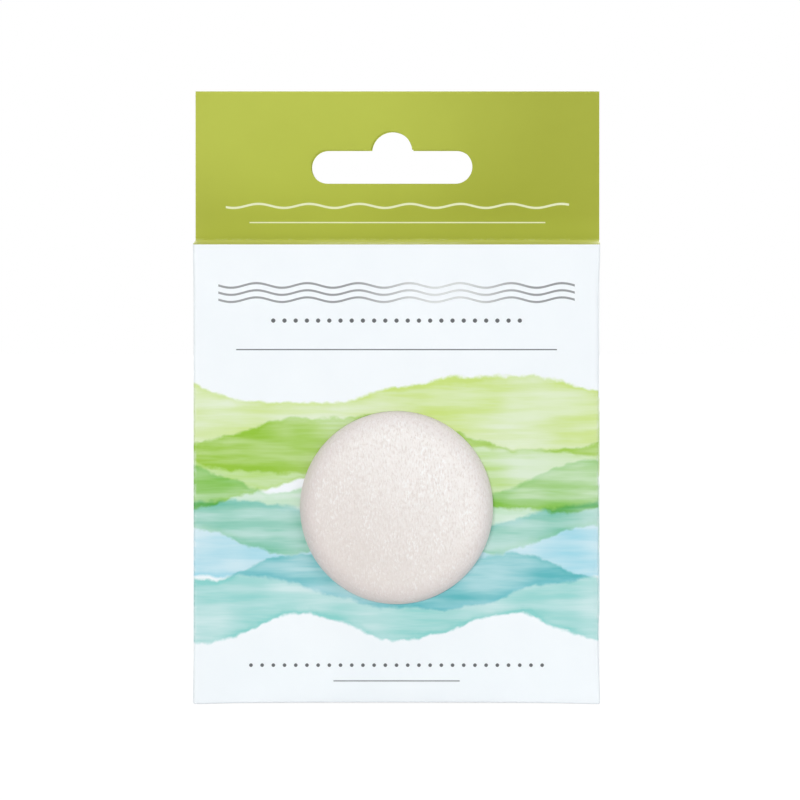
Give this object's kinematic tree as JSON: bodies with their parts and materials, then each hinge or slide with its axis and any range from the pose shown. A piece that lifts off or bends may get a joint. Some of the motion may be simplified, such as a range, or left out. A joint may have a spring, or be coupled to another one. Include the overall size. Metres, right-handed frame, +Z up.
{
  "type": "boxed konjac sponge",
  "caption": "Half-ball face sponge in a hang-tab folding carton: round window, tuck-in lid and bottom with dust flaps, and a doubled header with a hang slot.",
  "frame": {"origin": "middle of the carton's underside, on the bottom panel's outer face", "axes": "+Z up to the header, the window faces -Y, +X to the right seen from the front"},
  "size_m": [0.08, 0.044, 0.12],
  "materials": {
    "printed_board": "satin",
    "green_board": "satin",
    "plain_board": "matte",
    "glue": "satin",
    "sponge_foam": "matte"
  },
  "bodies": {
    "carton": {"front_panel": "printed_board", "back_panel": "printed_board", "left_side_panel": "printed_board", "right_side_panel": "printed_board", "glue_flap": "plain_board", "seam_glue": "glue", "header_back_layer": "printed_board", "header_front_layer": "green_board", "header_glue": "glue"},
    "lid": {"lid_panel": "green_board"},
    "lid_tuck": {"lid_tuck_flap": "green_board"},
    "top_dust_left": {"top_dust_flap_left": "plain_board"},
    "top_dust_right": {"top_dust_flap_right": "plain_board"},
    "bottom": {"bottom_panel": "printed_board"},
    "bottom_tuck": {"bottom_tuck_flap": "printed_board"},
    "bottom_dust_left": {"bottom_dust_flap_left": "plain_board"},
    "bottom_dust_right": {"bottom_dust_flap_right": "plain_board"},
    "sponge": {"sponge": "sponge_foam"}
  },
  "joints": [
    {"name": "lid_hinge", "type": "hinge", "parent": "carton", "child": "lid", "pos_m": [0, 0.01862, 0.0909], "axis": [-1, 0, 0], "range_deg": [0, 88]},
    {"name": "lid_tuck_fold", "type": "hinge", "parent": "lid", "child": "lid_tuck", "pos_m": [0, -0.0183, 0.08965], "axis": [-1, 0, 0], "range_deg": [0, 20]},
    {"name": "bottom_hinge", "type": "hinge", "parent": "carton", "child": "bottom", "pos_m": [0, -0.01915, 0.00085], "axis": [-1, 0, 0], "range_deg": [0, 105]},
    {"name": "bottom_tuck_fold", "type": "hinge", "parent": "bottom", "child": "bottom_tuck", "pos_m": [0, 0.0183, 0.00085], "axis": [-1, 0, 0], "range_deg": [0, 12]},
    {"name": "top_dust_left_fold", "type": "hinge", "parent": "carton", "child": "top_dust_left", "pos_m": [-0.03915, 0, 0.0891], "axis": [0, -1, 0], "range_deg": [0, 85]},
    {"name": "bottom_dust_left_fold", "type": "hinge", "parent": "carton", "child": "bottom_dust_left", "pos_m": [-0.03915, 0, 0.0014], "axis": [0, 1, 0], "range_deg": [0, 85]},
    {"name": "top_dust_right_fold", "type": "hinge", "parent": "carton", "child": "top_dust_right", "pos_m": [0.03915, 0, 0.0891], "axis": [0, 1, 0], "range_deg": [0, 85]},
    {"name": "bottom_dust_right_fold", "type": "hinge", "parent": "carton", "child": "bottom_dust_right", "pos_m": [0.03915, 0, 0.0014], "axis": [0, -1, 0], "range_deg": [0, 85]},
    {"name": "sponge_press", "type": "slide", "parent": "carton", "child": "sponge", "axis": [0, 1, 0], "range_m": [0, 0.002], "stiffness_N_per_m": 200}
  ],
  "couplings": [
    {"joint": "lid_tuck_fold", "follows": "lid_hinge", "ratio": 0.2},
    {"joint": "bottom_tuck_fold", "follows": "bottom_hinge", "ratio": 0.1},
    {"joint": "top_dust_left_fold", "follows": "lid_hinge", "ratio": 0.95},
    {"joint": "bottom_dust_left_fold", "follows": "bottom_hinge", "ratio": 0.8},
    {"joint": "top_dust_right_fold", "follows": "lid_hinge", "ratio": 0.95},
    {"joint": "bottom_dust_right_fold", "follows": "bottom_hinge", "ratio": 0.8}
  ]
}
